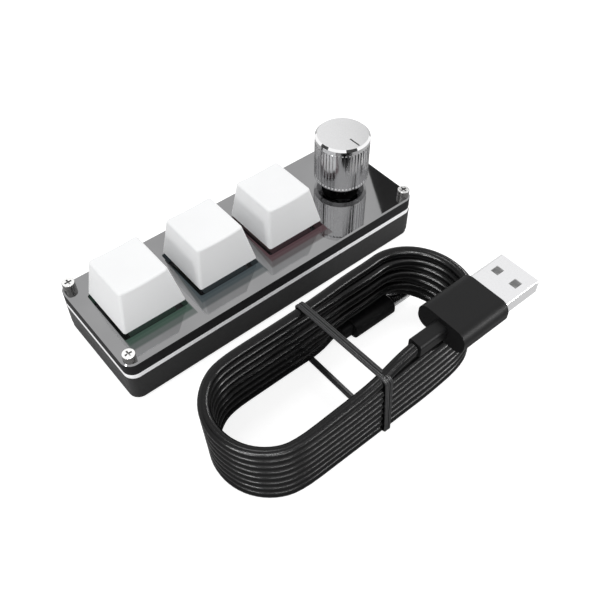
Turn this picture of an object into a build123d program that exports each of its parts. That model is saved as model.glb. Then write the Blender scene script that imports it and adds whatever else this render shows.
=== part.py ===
"""Desk keypad with three key switches and one push-and-turn knob, and its detached USB lead.

Millimetres. +X runs along the case from the first key to the knob, +Y points to the
back of the case, +Z is up. The origin is on the desk, under the middle of the case.
"""
from build123d import *
import math
import os

os.makedirs("parts", exist_ok=True)

# ---------------------------------------------------------------- driving dimensions
# row of keys and the knob; the case is as long as they and its two ends need
key_count = 3
key_pitch = 23.1
knob_pitch = 25.65          # from the last key's middle to the knob's axis
row_start = 14.0            # from the case's end to the first key's middle
row_end = 12.65             # from the knob's axis to the case's other end

# case, from the desk up
case_length = (key_count - 1) * key_pitch + knob_pitch + row_start + row_end
case_depth = 35.0
corner_radius = 3.0
foot_stand = 0.5            # how far the rubber feet stand out of the case floor
case_height = 8.8
case_wall = 2.0
floor_thick = 1.5
plate_thick = 1.5
panel_thick = 4.0
edge_break = 0.4            # small chamfer or round on outer edges

# feet
foot_radius = 4.0
foot_seat = 0.5             # depth of the recess that a foot is glued into
foot_inset_x = 11.0
foot_inset_y = 8.0

# screws through the panel and the plate into the case
screw_inset = 2.35
screw_radius = 1.0
screw_length = 10.0
screw_head_radius = 1.75
screw_head_height = 2.2
screw_head_round = 0.2
boss_radius = 2.3
hole_clearance = 0.1
cross_slot = 0.5
cross_span = 2.0
cross_depth = 0.7

# keys
switch_cutout = 14.0
cap_base = 18.4
cap_base_radius = 0.6
cap_top_x = 14.2
cap_top_y = 15.0
cap_top_radius = 1.0
cap_top_shift = 0.8         # the cap's top leans to the back
cap_height = 11.3
cap_gap = 1.7               # from the panel to the cap at rest
cap_wall = 1.4
cap_roof = 1.6
cap_dish = 0.35
cap_edge_round = 0.7
cap_boss_radius = 2.75
cap_clearance = 0.4         # panel cut-out round the cap, each side

# key switch
board_drop = 5.0            # from the plate's top down to the board's top
switch_body = 13.9
switch_flange = 15.6
flange_thick = 1.0
housing_floor = 1.5
housing_cavity = 10.4
upper_base = 14.2
upper_top_x = 11.4
upper_top_y = 12.0
upper_roof = 1.2
key_travel = 4.0
key_spare = 0.35            # left under the skirt when a key is pressed right down
slider_x = 7.0
slider_y = 5.4
slider_clearance = 0.15
skirt_x = 8.8
skirt_y = 8.0
skirt_thick = 2.8
stem_cross = 4.0
stem_cross_arm = 1.2
stem_cross_height = 3.6
cross_clearance = 0.04
stem_pole_radius = 1.3
stem_pole_length = 5.2
pole_bore_radius = 1.45
guide_radius = 1.95
guide_height = 1.7
post_radius = 1.95
post_length = 3.1
pin_radius = 0.6
pin_length = 3.1
pin_places = ((-3.81, 2.54), (2.54, 5.08))
spring_radius = 2.6
spring_wire = 0.32
spring_turns = 6
spring_end_gap = 0.05
lamp_x = 3.2
lamp_y = 2.8
lamp_height = 1.4
lamp_offset = 4.9           # lamp in front of the switch's middle
lamp_clearance = 0.3

# circuit board and what it carries
board_thick = 1.6
board_gap = 0.3
chip_size = 7.0
chip_height = 1.0
chip_x = 23.0
socket_width = 8.94
socket_height = 3.2
socket_length = 7.3
socket_wall = 0.3
socket_corner = 1.5
socket_clearance = 0.25
socket_recess = 0.6         # socket mouth, in from the case's back
tongue_width = 6.7
tongue_thick = 0.7
tongue_length = 5.2

# encoder
encoder_x = case_length / 2 - row_end
encoder_y = 1.1             # the encoder sits a little behind the row of keys
encoder_body_x = 12.0
encoder_body_y = 12.4
encoder_base_height = 1.5
encoder_cover_wall = 0.5
bushing_radius = 3.5
bushing_height = 6.0
shaft_radius = 3.0
shaft_flat = 1.5            # depth of the D flat
shaft_flat_length = 12.0
shaft_length = 19.0         # above the encoder's body
shaft_clearance = 0.06
shaft_collar_radius = 4.4
shaft_collar_thick = 0.7
push_travel = 0.5
push_spare = 0.3            # left over the dome when the knob is pushed right down
plunger_radius = 4.4
plunger_thick = 0.6
dome_radius = 2.6
dome_thick = 0.3
dome_gap = 0.05
encoder_pin_radius = 0.45
encoder_pin_length = 2.0

# knob
knob_radius = 8.0
knob_height = 15.6
knob_gap = 2.2              # from the panel to the knob at rest
knob_wall = 2.4
knob_roof = 2.6
knob_chamfer = 0.6
knob_foot_bevel = 0.9
knob_groove_below_top = 2.2
knob_groove_width = 0.35
knob_groove_depth = 0.3
flute_count = 48
flute_depth = 0.32
flute_width = 0.55
flute_foot = 1.2            # plain band under the flutes
pointer_start = 3.1
pointer_end = 7.0
pointer_width = 0.45
pointer_depth = 0.2
insert_recess = 0.5
insert_clearance = 0.02
insert_stop = 0.3           # free space over the shaft's end

# detached USB lead: coil, loose ends, plugs and tie
cord_d = 3.0
coil_turns = 8              # lying on top of each other
coil_x = -6.4
coil_y = -49.15
coil_long = 77.2            # centre line of the turns, end to end
coil_wide = 28.3
tie_width = 2.8
tie_thick = 0.6
tie_x = -7.4
tie_clearance = 0.1
lead_rise = 1.0             # how far the loose end lifts off the coil at the tie

usb_a_length = 15.5
usb_a_width = 14.5
usb_a_thick = 6.8
usb_a_round = 2.8
usb_a_x = 10.0              # back of the moulded grip
usb_a_y = -63.3
usb_a_collar_length = 8.6
usb_a_collar = 4.0
usb_a_shell_width = 11.9
usb_a_shell_height = 4.3
usb_a_shell_length = 12.0
usb_a_shell_wall = 0.35
usb_a_shell_round = 0.5
usb_a_hole_x = 2.5
usb_a_hole_y = 2.2
usb_a_hole_spacing = 5.6
usb_a_hole_back = 6.9
usb_a_tongue_thick = 1.9

usb_c_length = 14.3
usb_c_width = 10.4
usb_c_thick = 5.4
usb_c_round = 2.4
usb_c_x = 8.2
usb_c_y = -33.7
usb_c_collar_length = 3.6
usb_c_collar_width = 7.2
usb_c_collar_thick = 4.2
usb_c_shell_width = 8.3
usb_c_shell_height = 2.5
usb_c_shell_length = 6.6
usb_c_shell_wall = 0.3
plug_clearance = 0.25
pocket_length = 34.4        # gap under the far side for the small plug and its lead

# ---------------------------------------------------------------- heights, from the desk
case_bottom = foot_stand
case_top = case_bottom + case_height
plate_top = case_top + plate_thick
panel_top = plate_top + panel_thick
floor_top = case_bottom + floor_thick
board_top = plate_top - board_drop
board_bottom = board_top - board_thick
flange_top = plate_top + flange_thick
cavity_floor = board_top + housing_floor
skirt_bottom = cavity_floor + guide_height + key_spare + key_travel
skirt_top = skirt_bottom + skirt_thick
housing_top = skirt_top + spring_end_gap + upper_roof
cap_bottom = panel_top + cap_gap
cap_top = cap_bottom + cap_height
knob_bottom = panel_top + knob_gap
knob_top = knob_bottom + knob_height
encoder_base_top = board_top + encoder_base_height
dome_top = encoder_base_top + dome_thick
plunger_bottom = dome_top + push_spare + push_travel
shaft_foot = plunger_bottom + plunger_thick + dome_gap
encoder_top = shaft_foot + shaft_collar_thick + dome_gap + encoder_cover_wall
shaft_top = encoder_top + shaft_length
coil_height = coil_turns * cord_d
usb_a_z = coil_height + usb_a_thick / 2 + plug_clearance
usb_c_z = usb_c_thick / 2
pocket_x = usb_c_x + usb_c_length + usb_c_shell_length + plug_clearance

# loose ends of the lead, from the coil to each plug
lead_a_route = [
    (-31.0, -62.9, coil_height + 1.6),
    (-21.5, -63.5, coil_height + 1.6),
    (-12.5, -63.2, coil_height + 1.7),
    (-6.8, -63.2, coil_height + 2.1),
    (-2.0, usb_a_y, usb_a_z),
    (usb_a_x - usb_a_collar_length, usb_a_y, usb_a_z),
]
lead_c_route = [
    (usb_c_x - usb_c_collar_length, usb_c_y, usb_c_z),
    (3.2, usb_c_y, usb_c_z),
    (-2.8, -34.8, 1.6),
    (pocket_x - pocket_length, -34.8, 1.6),
]

key_places = [row_start - case_length / 2 + key_pitch * n for n in range(key_count)]
socket_x = (key_places[1] + key_places[2]) / 2
screw_places = [
    (sx * (case_length / 2 - screw_inset), sy * (case_depth / 2 - screw_inset))
    for sx in (-1, 1)
    for sy in (-1, 1)
]
foot_places = [
    (sx * (case_length / 2 - foot_inset_x), sy * (case_depth / 2 - foot_inset_y))
    for sx in (-1, 1)
    for sy in (-1, 1)
]


def save(part, name):
    """Label one finished piece and write it as its own STEP file."""
    part.label = name
    export_step(part, f"parts/{name}.step")


# ---------------------------------------------------------------- case
with BuildPart() as bottom_case:
    with BuildSketch(Plane.XY.offset(case_bottom)):
        RectangleRounded(case_length, case_depth, corner_radius)
    extrude(amount=case_height)
    chamfer(bottom_case.faces().sort_by(Axis.Z)[0].edges(), edge_break)
    with BuildSketch(Plane.XY.offset(floor_top)):
        RectangleRounded(
            case_length - 2 * case_wall,
            case_depth - 2 * case_wall,
            max(corner_radius - case_wall, edge_break),
        )
    extrude(amount=case_top - floor_top, mode=Mode.SUBTRACT)
    # screw bosses grow out of the corners, inside the outer wall
    with BuildSketch(Plane.XY.offset(floor_top)):
        with Locations(*screw_places):
            Circle(boss_radius)
    extrude(amount=case_top - floor_top)
    with BuildSketch(Plane.XY.offset(case_top)):
        with Locations(*screw_places):
            Circle(screw_radius + hole_clearance)
    extrude(amount=-(case_top - floor_top), mode=Mode.SUBTRACT)
    # recesses for the feet
    with BuildSketch(Plane.XY.offset(case_bottom)):
        with Locations(*foot_places):
            Circle(foot_radius + hole_clearance)
    extrude(amount=foot_seat, mode=Mode.SUBTRACT)
    # opening for the USB socket in the back wall
    with BuildSketch(Plane.XZ.offset(-case_depth / 2)):
        with Locations((socket_x, board_top + socket_height / 2)):
            RectangleRounded(
                socket_width + 2 * socket_clearance,
                socket_height + 2 * socket_clearance,
                socket_corner,
            )
    extrude(amount=case_wall * 1.5, mode=Mode.SUBTRACT)
save(bottom_case.part, "bottom_case")

with BuildPart() as rubber_feet:
    with BuildSketch(Plane.XY):
        with Locations(*foot_places):
            Circle(foot_radius)
    extrude(amount=foot_stand + foot_seat)
    chamfer(rubber_feet.faces().group_by(Axis.Z)[0].edges(), foot_stand / 2)
save(rubber_feet.part, "rubber_feet")

with BuildPart() as switch_plate:
    with BuildSketch(Plane.XY.offset(case_top)):
        RectangleRounded(case_length, case_depth, corner_radius)
        with Locations(*[(x, 0) for x in key_places], (encoder_x, encoder_y)):
            Rectangle(switch_cutout, switch_cutout, mode=Mode.SUBTRACT)
        with Locations(*screw_places):
            Circle(screw_radius + hole_clearance, mode=Mode.SUBTRACT)
    extrude(amount=plate_thick)
save(switch_plate.part, "switch_plate")

with BuildPart() as top_panel:
    with BuildSketch(Plane.XY.offset(plate_top)):
        RectangleRounded(case_length, case_depth, corner_radius)
        with Locations(*[(x, 0) for x in key_places]):
            RectangleRounded(
                cap_base + 2 * cap_clearance,
                cap_base + 2 * cap_clearance,
                cap_base_radius,
                mode=Mode.SUBTRACT,
            )
        with Locations((encoder_x, encoder_y)):
            Circle(bushing_radius + hole_clearance, mode=Mode.SUBTRACT)
        with Locations(*screw_places):
            Circle(screw_radius + hole_clearance, mode=Mode.SUBTRACT)
    extrude(amount=panel_thick)
    outer_top_edges = (
        top_panel.faces().sort_by(Axis.Z)[-1].outer_wire().edges()
    )
    chamfer(outer_top_edges, edge_break)
save(top_panel.part, "top_panel")

with BuildPart() as panel_screws:
    with BuildSketch(Plane.XY.offset(panel_top)):
        with Locations(*screw_places):
            Circle(screw_radius)
    extrude(amount=-screw_length)
    with BuildSketch(Plane.XY.offset(panel_top)):
        with Locations(*screw_places):
            Circle(screw_head_radius)
    extrude(amount=screw_head_height)
    fillet(panel_screws.faces().group_by(Axis.Z)[-1].edges(), screw_head_round)
    with BuildSketch(Plane.XY.offset(panel_top + screw_head_height)):
        with Locations(*screw_places):
            Rectangle(cross_span, cross_slot)
            Rectangle(cross_slot, cross_span)
    extrude(amount=-cross_depth, mode=Mode.SUBTRACT)
save(panel_screws.part, "panel_screws")

# ---------------------------------------------------------------- circuit board
with BuildPart() as circuit_board:
    with BuildSketch(Plane.XY.offset(board_bottom)):
        Rectangle(
            case_length - 2 * case_wall - 2 * board_gap,
            case_depth - 2 * case_wall - 2 * board_gap,
        )
        with Locations(*screw_places):
            Circle(boss_radius + board_gap, mode=Mode.SUBTRACT)
        with Locations(*[(x, 0) for x in key_places]):
            Circle(post_radius + hole_clearance, mode=Mode.SUBTRACT)
        with Locations(*[(x + px, py) for x in key_places for px, py in pin_places]):
            Circle(pin_radius + hole_clearance, mode=Mode.SUBTRACT)
    extrude(amount=board_thick)
save(circuit_board.part, "circuit_board")

with BuildPart() as controller_chip:
    with BuildSketch(Plane.XY.offset(board_bottom)):
        with Locations((chip_x, 0)):
            Rectangle(chip_size, chip_size)
    extrude(amount=-chip_height)
save(controller_chip.part, "controller_chip")

socket_mouth = case_depth / 2 - socket_recess
with BuildPart() as usb_socket:
    with BuildSketch(Plane.XZ.offset(-socket_mouth)):
        with Locations((socket_x, board_top + socket_height / 2)):
            RectangleRounded(socket_width, socket_height, socket_corner)
    extrude(amount=socket_length)
    with BuildSketch(Plane.XZ.offset(-socket_mouth)):
        with Locations((socket_x, board_top + socket_height / 2)):
            RectangleRounded(
                socket_width - 2 * socket_wall,
                socket_height - 2 * socket_wall,
                socket_corner - socket_wall,
            )
    extrude(amount=socket_length - socket_wall, mode=Mode.SUBTRACT)
save(usb_socket.part, "usb_socket")

with BuildPart() as usb_socket_tongue:
    with BuildSketch(Plane.XZ.offset(-(socket_mouth - socket_length + socket_wall))):
        with Locations((socket_x, board_top + socket_height / 2)):
            Rectangle(tongue_width, tongue_thick)
    extrude(amount=-tongue_length)
save(usb_socket_tongue.part, "usb_socket_tongue")


# ---------------------------------------------------------------- keys
def make_switch_bottom(x):
    """Lower housing: flange on the plate, body down to the board, guide and post."""
    with BuildPart() as lower:
        with BuildSketch(Plane.XY.offset(board_top)):
            with Locations((x, 0)):
                Rectangle(switch_body, switch_body)
        extrude(amount=board_drop)
        with BuildSketch(Plane.XY.offset(plate_top)):
            with Locations((x, 0)):
                Rectangle(switch_flange, switch_flange)
        extrude(amount=flange_thick)
        with BuildSketch(Plane.XY.offset(cavity_floor)):
            with Locations((x, 0)):
                Rectangle(housing_cavity, housing_cavity)
        extrude(amount=flange_top - cavity_floor, mode=Mode.SUBTRACT)
        with BuildSketch(Plane.XY.offset(cavity_floor)):
            with Locations((x, 0)):
                Circle(guide_radius)
        extrude(amount=guide_height)
        with BuildSketch(Plane.XY.offset(board_top)):
            with Locations((x, 0)):
                Circle(post_radius)
        extrude(amount=-post_length)
        with BuildSketch(Plane.XY.offset(cavity_floor + guide_height)):
            with Locations((x, 0)):
                Circle(pole_bore_radius)
        pole_bore_end = board_top - post_length + housing_floor / 3
        extrude(amount=-(cavity_floor + guide_height - pole_bore_end), mode=Mode.SUBTRACT)
        # window for the lamp that shines up from the board
        with BuildSketch(Plane.XY.offset(board_top)):
            with Locations((x, -lamp_offset)):
                Rectangle(lamp_x + 2 * lamp_clearance, lamp_y + 2 * lamp_clearance)
        extrude(amount=housing_floor, mode=Mode.SUBTRACT)
    return lower.part


def make_switch_top(x):
    """Upper housing: a tapered hood with the stem's opening in its roof."""
    with BuildPart() as upper:
        with BuildSketch(Plane.XY.offset(flange_top)):
            with Locations((x, 0)):
                Rectangle(upper_base, upper_base)
        with BuildSketch(Plane.XY.offset(housing_top)):
            with Locations((x, 0)):
                Rectangle(upper_top_x, upper_top_y)
        loft()
        with BuildSketch(Plane.XY.offset(flange_top)):
            with Locations((x, 0)):
                Rectangle(skirt_x + 4 * slider_clearance, housing_cavity)
        extrude(amount=housing_top - upper_roof - flange_top, mode=Mode.SUBTRACT)
        with BuildSketch(Plane.XY.offset(housing_top)):
            with Locations((x, 0)):
                Rectangle(slider_x + 2 * slider_clearance, slider_y + 2 * slider_clearance)
        extrude(amount=-upper_roof, mode=Mode.SUBTRACT)
    return upper.part


def make_switch_stem(x):
    """Sliding stem: skirt, slider, cross on top and the pole that guides it."""
    with BuildPart() as stem:
        with BuildSketch(Plane.XY.offset(skirt_bottom)):
            with Locations((x, 0)):
                Rectangle(skirt_x, skirt_y)
        extrude(amount=skirt_thick)
        with BuildSketch(Plane.XY.offset(skirt_top)):
            with Locations((x, 0)):
                Rectangle(slider_x, slider_y)
        extrude(amount=housing_top - skirt_top)
        with BuildSketch(Plane.XY.offset(housing_top)):
            with Locations((x, 0)):
                Rectangle(stem_cross, stem_cross_arm)
                Rectangle(stem_cross_arm, stem_cross)
        extrude(amount=stem_cross_height)
        with BuildSketch(Plane.XY.offset(skirt_bottom)):
            with Locations((x, 0)):
                Circle(stem_pole_radius)
        extrude(amount=-stem_pole_length)
    return stem.part


def make_switch_spring(x):
    """Return spring between the housing's floor and the stem's skirt."""
    bottom = cavity_floor + spring_wire / 2 + spring_end_gap
    height = skirt_bottom - cavity_floor - spring_wire - 2 * spring_end_gap
    with BuildPart() as spring:
        with BuildLine():
            coil = Helix(height / spring_turns, height, spring_radius, center=(x, 0, bottom))
        with BuildSketch(Plane(origin=coil @ 0, z_dir=coil % 0)):
            Circle(spring_wire / 2)
        sweep(path=coil)
    return spring.part


def make_switch_pins(x):
    """The two contact pins, through the board."""
    with BuildPart() as pins:
        with BuildSketch(Plane.XY.offset(board_top)):
            with Locations(*[(x + px, py) for px, py in pin_places]):
                Circle(pin_radius)
        extrude(amount=-pin_length)
    return pins.part


def make_key_lamp(x):
    """Coloured lamp on the board, under the front of the switch."""
    with BuildPart() as lamp:
        with BuildSketch(Plane.XY.offset(board_top)):
            with Locations((x, -lamp_offset)):
                Rectangle(lamp_x, lamp_y)
        extrude(amount=lamp_height)
    return lamp.part


def make_keycap(x):
    """Hollow tapered cap, dished on top, with the boss that grips the stem's cross."""
    dish_radius = (cap_top_x**2 / 4 + cap_dish**2) / (2 * cap_dish)
    ceiling = cap_top - cap_roof
    with BuildPart() as cap:
        with BuildSketch(Plane.XY.offset(cap_bottom)):
            with Locations((x, 0)):
                RectangleRounded(cap_base, cap_base, cap_base_radius)
        with BuildSketch(Plane.XY.offset(cap_top)):
            with Locations((x, cap_top_shift)):
                RectangleRounded(cap_top_x, cap_top_y, cap_top_radius)
        loft()
        with BuildSketch(Plane.XZ.offset(-cap_base)):
            with Locations((x, cap_top - cap_dish + dish_radius)):
                Circle(dish_radius)
        extrude(amount=2 * cap_base, mode=Mode.SUBTRACT)
        fillet(cap.faces().sort_by(Axis.Z)[-1].edges(), cap_edge_round)
        with BuildSketch(Plane.XY.offset(cap_bottom)):
            with Locations((x, 0)):
                RectangleRounded(
                    cap_base - 2 * cap_wall, cap_base - 2 * cap_wall, cap_base_radius / 2
                )
        with BuildSketch(Plane.XY.offset(ceiling)):
            with Locations((x, cap_top_shift)):
                RectangleRounded(
                    cap_top_x - 2 * cap_wall, cap_top_y - 2 * cap_wall, cap_base_radius / 2
                )
        loft(mode=Mode.SUBTRACT)
        with BuildSketch(Plane.XY.offset(housing_top + spring_end_gap)):
            with Locations((x, 0)):
                Circle(cap_boss_radius)
        extrude(amount=ceiling - housing_top)
        with BuildSketch(Plane.XY.offset(housing_top)):
            with Locations((x, 0)):
                Rectangle(
                    stem_cross + 2 * cross_clearance, stem_cross_arm + 2 * cross_clearance
                )
                Rectangle(
                    stem_cross_arm + 2 * cross_clearance, stem_cross + 2 * cross_clearance
                )
        extrude(amount=stem_cross_height + cross_clearance, mode=Mode.SUBTRACT)
    return cap.part


for number, key_x in enumerate(key_places, start=1):
    save(make_switch_bottom(key_x), f"switch_bottom_{number}")
    save(make_switch_top(key_x), f"switch_top_{number}")
    save(make_switch_stem(key_x), f"switch_stem_{number}")
    save(make_switch_spring(key_x), f"switch_spring_{number}")
    save(make_switch_pins(key_x), f"switch_pins_{number}")
    save(make_key_lamp(key_x), f"key_lamp_{number}")
    save(make_keycap(key_x), f"keycap_{number}")

# ---------------------------------------------------------------- encoder
with BuildPart() as encoder_base:
    with BuildSketch(Plane.XY.offset(board_top)):
        with Locations((encoder_x, encoder_y)):
            Rectangle(encoder_body_x, encoder_body_y)
    extrude(amount=encoder_base_height)
save(encoder_base.part, "encoder_base")

with BuildPart() as encoder_cover:
    with BuildSketch(Plane.XY.offset(encoder_base_top)):
        with Locations((encoder_x, encoder_y)):
            Rectangle(encoder_body_x, encoder_body_y)
    extrude(amount=encoder_top - encoder_base_top)
    with BuildSketch(Plane.XY.offset(encoder_top)):
        with Locations((encoder_x, encoder_y)):
            Circle(bushing_radius)
    extrude(amount=bushing_height)
    with BuildSketch(Plane.XY.offset(encoder_base_top)):
        with Locations((encoder_x, encoder_y)):
            Circle(plunger_radius + hole_clearance)
    extrude(amount=encoder_top - encoder_cover_wall - encoder_base_top, mode=Mode.SUBTRACT)
    with BuildSketch(Plane.XY.offset(encoder_base_top)):
        with Locations((encoder_x, encoder_y)):
            Circle(shaft_radius + shaft_clearance)
    extrude(amount=encoder_top + bushing_height - encoder_base_top, mode=Mode.SUBTRACT)
save(encoder_cover.part, "encoder_cover")

with BuildPart() as encoder_shaft:
    with BuildSketch(Plane.XY.offset(shaft_foot)):
        with Locations((encoder_x, encoder_y)):
            Circle(shaft_collar_radius - hole_clearance)
    extrude(amount=shaft_collar_thick)
    with BuildSketch(Plane.XY.offset(shaft_foot)):
        with Locations((encoder_x, encoder_y)):
            Circle(shaft_radius)
    extrude(amount=shaft_top - shaft_foot)
    chamfer(encoder_shaft.faces().sort_by(Axis.Z)[-1].edges(), edge_break)
    with BuildSketch(Plane.XY.offset(shaft_top)):
        with Locations((encoder_x, encoder_y + shaft_radius * 2 - shaft_flat)):
            Rectangle(shaft_radius * 2, shaft_radius * 2)
    extrude(amount=-shaft_flat_length, mode=Mode.SUBTRACT)
save(encoder_shaft.part, "encoder_shaft")

with BuildPart() as encoder_plunger:
    with BuildSketch(Plane.XY.offset(plunger_bottom)):
        with Locations((encoder_x, encoder_y)):
            Circle(plunger_radius)
    extrude(amount=plunger_thick)
save(encoder_plunger.part, "encoder_plunger")

with BuildPart() as encoder_dome:
    with BuildSketch(Plane.XY.offset(encoder_base_top)):
        with Locations((encoder_x, encoder_y)):
            Circle(dome_radius)
    extrude(amount=dome_thick)
save(encoder_dome.part, "encoder_dome")

with BuildPart() as encoder_pins:
    with BuildSketch(Plane.XY.offset(board_bottom)):
        with Locations((encoder_x, encoder_y)):
            with GridLocations(encoder_body_x / 5, encoder_body_y - 2, 3, 2):
                Circle(encoder_pin_radius)
    extrude(amount=-encoder_pin_length / 2)
save(encoder_pins.part, "encoder_pins")

# ---------------------------------------------------------------- knob
flute_top = knob_top - knob_groove_below_top
knob_bore_radius = knob_radius - knob_wall
with BuildPart() as knob_shell:
    with BuildSketch(Plane.XY.offset(knob_bottom)):
        with Locations((encoder_x, encoder_y)):
            Circle(knob_radius)
    extrude(amount=knob_height)
    chamfer(knob_shell.faces().sort_by(Axis.Z)[-1].edges(), knob_chamfer)
    chamfer(knob_shell.faces().sort_by(Axis.Z)[0].edges(), knob_foot_bevel)
    with BuildSketch(Plane.XY.offset(knob_bottom)):
        with Locations((encoder_x, encoder_y)):
            Circle(knob_bore_radius)
    extrude(amount=knob_height - knob_roof, mode=Mode.SUBTRACT)
    # groove under the plain rim, then the flutes
    with BuildSketch(Plane.XY.offset(flute_top)):
        with Locations((encoder_x, encoder_y)):
            Circle(knob_radius + knob_groove_depth)
            Circle(knob_radius - knob_groove_depth, mode=Mode.SUBTRACT)
    extrude(amount=knob_groove_width, mode=Mode.SUBTRACT)
    with BuildSketch(Plane.XY.offset(knob_bottom + flute_foot)):
        with Locations((encoder_x, encoder_y)):
            with PolarLocations(knob_radius, flute_count):
                Rectangle(2 * flute_depth, flute_width)
    extrude(amount=flute_top - knob_bottom - flute_foot, mode=Mode.SUBTRACT)
    # pointer line cut into the top
    with BuildSketch(Plane.XY.offset(knob_top)):
        with Locations((encoder_x, encoder_y - (pointer_start + pointer_end) / 2)):
            Rectangle(pointer_width, pointer_end - pointer_start)
    extrude(amount=-pointer_depth, mode=Mode.SUBTRACT)
save(knob_shell.part, "knob_shell")

insert_bottom = knob_bottom + insert_recess
bore_top = shaft_top + insert_stop
flat_bottom = max(insert_bottom, bore_top - shaft_flat_length)
with BuildPart() as knob_insert:
    with BuildSketch(Plane.XY.offset(insert_bottom)):
        with Locations((encoder_x, encoder_y)):
            Circle(knob_bore_radius - insert_clearance)
    extrude(amount=knob_height - knob_roof - insert_recess)
    with BuildSketch(Plane.XY.offset(insert_bottom)):
        with Locations((encoder_x, encoder_y)):
            Circle(shaft_radius + insert_clearance)
    extrude(amount=bore_top - insert_bottom, mode=Mode.SUBTRACT)
    # the D of the bore: a pad against the shaft's flat
    with BuildSketch(Plane.XY.offset(flat_bottom)):
        with Locations((encoder_x, encoder_y)):
            Circle(shaft_radius + insert_clearance)
        with Locations((encoder_x, encoder_y - shaft_flat + insert_clearance)):
            Rectangle(4 * shaft_radius, 2 * shaft_radius, mode=Mode.SUBTRACT)
    extrude(amount=bore_top - flat_bottom)
save(knob_insert.part, "knob_insert")


# ---------------------------------------------------------------- USB lead
def plug_shell(width, height, length, wall, corner, centre, start_x):
    """Hollow metal shell of a plug, open towards +X."""
    with BuildPart() as shell:
        with BuildSketch(Plane.YZ.offset(start_x)):
            with Locations(centre):
                RectangleRounded(width, height, corner)
                RectangleRounded(
                    width - 2 * wall, height - 2 * wall, max(corner - wall, wall / 2),
                    mode=Mode.SUBTRACT,
                )
        extrude(amount=length)
    return shell.part


with BuildPart() as cable_coil:
    with BuildSketch():
        with Locations((coil_x, coil_y)):
            SlotOverall(coil_long + cord_d, coil_wide + cord_d)
            SlotOverall(coil_long - cord_d, coil_wide - cord_d, mode=Mode.SUBTRACT)
    extrude(amount=coil_height)
    # the tie's band lies under the turns
    with BuildSketch():
        with Locations((tie_x, coil_y)):
            Rectangle(tie_width + 2 * tie_clearance, coil_wide + 2 * cord_d)
    extrude(amount=tie_thick + tie_clearance, mode=Mode.SUBTRACT)
    # the small plug and its lead are tucked under the far side
    with BuildSketch():
        with Locations((pocket_x, usb_c_y)):
            Rectangle(
                pocket_length,
                usb_c_width + 2 * plug_clearance,
                align=(Align.MAX, Align.CENTER),
            )
    extrude(amount=usb_c_thick + plug_clearance, mode=Mode.SUBTRACT)
save(cable_coil.part, "cable_coil")

tie_near = coil_y - coil_wide / 2 - cord_d / 2 - tie_clearance
tie_far = coil_y + coil_wide / 2 + cord_d / 2 + tie_clearance
lead_top = coil_height + cord_d + lead_rise + tie_clearance
tie_loop = [
    (tie_near, tie_thick),
    (tie_far, tie_thick),
    (tie_far, coil_height + tie_clearance),
    (tie_near + cord_d, lead_top),
    (tie_near + cord_d / 3, lead_top),
    (tie_near, lead_top - cord_d / 3),
]
with BuildPart() as cable_tie:
    with BuildSketch(Plane.YZ.offset(tie_x - tie_width / 2)):
        with BuildLine():
            Polyline(*tie_loop, close=True)
        make_face()
        offset(amount=tie_thick, kind=Kind.ARC)
        with BuildLine():
            Polyline(*tie_loop, close=True)
        make_face(mode=Mode.SUBTRACT)
    extrude(amount=tie_width)
save(cable_tie.part, "cable_tie")

# big plug, lying on the near side of the coil
with BuildPart() as usb_a_grip:
    with BuildSketch(Plane.YZ.offset(usb_a_x)):
        with Locations((usb_a_y, usb_a_z)):
            RectangleRounded(usb_a_width, usb_a_thick, usb_a_round)
    extrude(amount=usb_a_length)
    chamfer(usb_a_grip.faces().sort_by(Axis.X)[-1].edges(), edge_break)
    with BuildSketch(Plane.YZ.offset(usb_a_x)):
        with Locations((usb_a_y, usb_a_z)):
            RectangleRounded(usb_a_collar, usb_a_collar, usb_a_collar / 4)
    extrude(amount=-usb_a_collar_length)
save(usb_a_grip.part, "usb_a_grip")

usb_a_front = usb_a_x + usb_a_length
shell_a = plug_shell(
    usb_a_shell_width, usb_a_shell_height, usb_a_shell_length, usb_a_shell_wall,
    usb_a_shell_round, (usb_a_y, usb_a_z), usb_a_front,
)
with BuildPart() as usb_a_shell:
    add(shell_a)
    with BuildSketch(Plane.XY.offset(usb_a_z)):
        with Locations((usb_a_front + usb_a_hole_back, usb_a_y)):
            with GridLocations(0, usb_a_hole_spacing, 1, 2):
                Rectangle(usb_a_hole_x, usb_a_hole_y)
    extrude(amount=usb_a_shell_height, both=True, mode=Mode.SUBTRACT)
save(usb_a_shell.part, "usb_a_shell")

tongue_low = usb_a_z - usb_a_shell_height / 2 + usb_a_shell_wall
with BuildPart() as usb_a_tongue:
    with BuildSketch(Plane.YZ.offset(usb_a_front)):
        with Locations((usb_a_y, tongue_low)):
            Rectangle(
                usb_a_shell_width - 2 * usb_a_shell_wall - 2 * usb_a_shell_round,
                usb_a_tongue_thick,
                align=(Align.CENTER, Align.MIN),
            )
    extrude(amount=usb_a_shell_length - edge_break)
save(usb_a_tongue.part, "usb_a_tongue")

# small plug, tucked into the far side of the coil
with BuildPart() as usb_c_grip:
    with BuildSketch(Plane.YZ.offset(usb_c_x)):
        with Locations((usb_c_y, usb_c_z)):
            RectangleRounded(usb_c_width, usb_c_thick, usb_c_round)
    extrude(amount=usb_c_length)
    chamfer(usb_c_grip.faces().sort_by(Axis.X)[-1].edges(), edge_break)
    with BuildSketch(Plane.YZ.offset(usb_c_x)):
        with Locations((usb_c_y, usb_c_z)):
            RectangleRounded(usb_c_collar_width, usb_c_collar_thick, usb_c_collar_thick / 3)
    extrude(amount=-usb_c_collar_length)
save(usb_c_grip.part, "usb_c_grip")

shell_c = plug_shell(
    usb_c_shell_width, usb_c_shell_height, usb_c_shell_length, usb_c_shell_wall,
    usb_c_shell_height * 0.45, (usb_c_y, usb_c_z), usb_c_x + usb_c_length,
)
save(shell_c, "usb_c_shell")


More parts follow.
